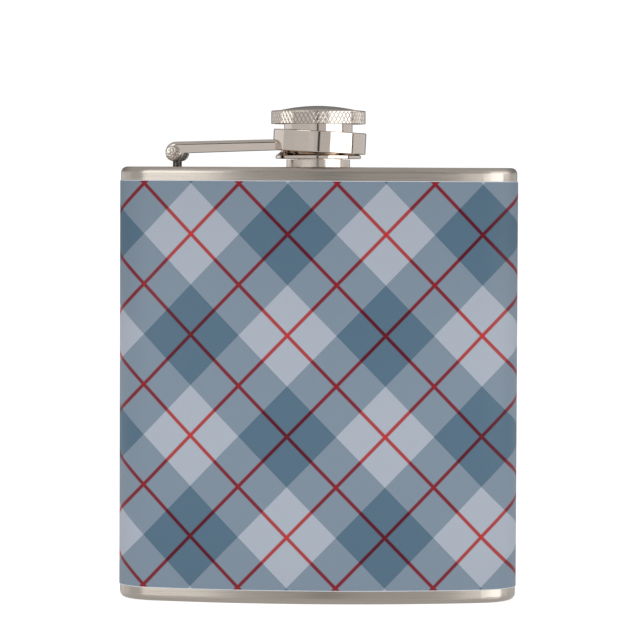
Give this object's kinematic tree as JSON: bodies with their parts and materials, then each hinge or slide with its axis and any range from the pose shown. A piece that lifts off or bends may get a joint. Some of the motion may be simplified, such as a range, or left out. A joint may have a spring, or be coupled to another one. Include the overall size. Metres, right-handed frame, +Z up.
{
  "type": "hip flask",
  "caption": "Curved steel hip flask with a printed plaid vinyl wrap and a knurled screw cap held captive on a hinged arm.",
  "frame": {"origin": "on the floor under the middle of the flask's bounding box, cap screwed on", "axes": "+Z up along the neck, +X to the right across the width with the hinge at -X, -Y out of the convex front face"},
  "size_m": [0.092, 0.0268, 0.1138],
  "materials": {
    "brushed_steel": "brushed",
    "polished_steel": "polished",
    "knurled_steel": "diamond knurled band, brushed dome",
    "printed_vinyl": "satin print",
    "white_plastic": "satin",
    "gasket_rubber": "matte"
  },
  "bodies": {
    "root": {"body_shell": "brushed_steel", "bottom_plate": "brushed_steel", "top_plate": "brushed_steel", "vinyl_wrap": "printed_vinyl", "neck": "polished_steel", "hinge_post": "polished_steel"},
    "arm": {"captive_arm": "polished_steel", "hinge_rivet": "polished_steel"},
    "cap": {"cap_head": "knurled_steel", "cap_sleeve": "polished_steel", "cap_insert": "white_plastic", "cap_gasket": "gasket_rubber"}
  },
  "joints": [
    {"name": "arm_hinge", "type": "hinge", "parent": "root", "child": "arm", "pos_m": [-0.03275, 0.00181, 0.1029], "axis": [-0.1268, -0.9919, 0], "range_deg": [0, 175]},
    {"name": "cap_spin", "type": "hinge", "parent": "arm", "child": "cap", "pos_m": [0, -0.00242, 0.1056], "axis": [0, 0, 1], "continuous": true}
  ]
}
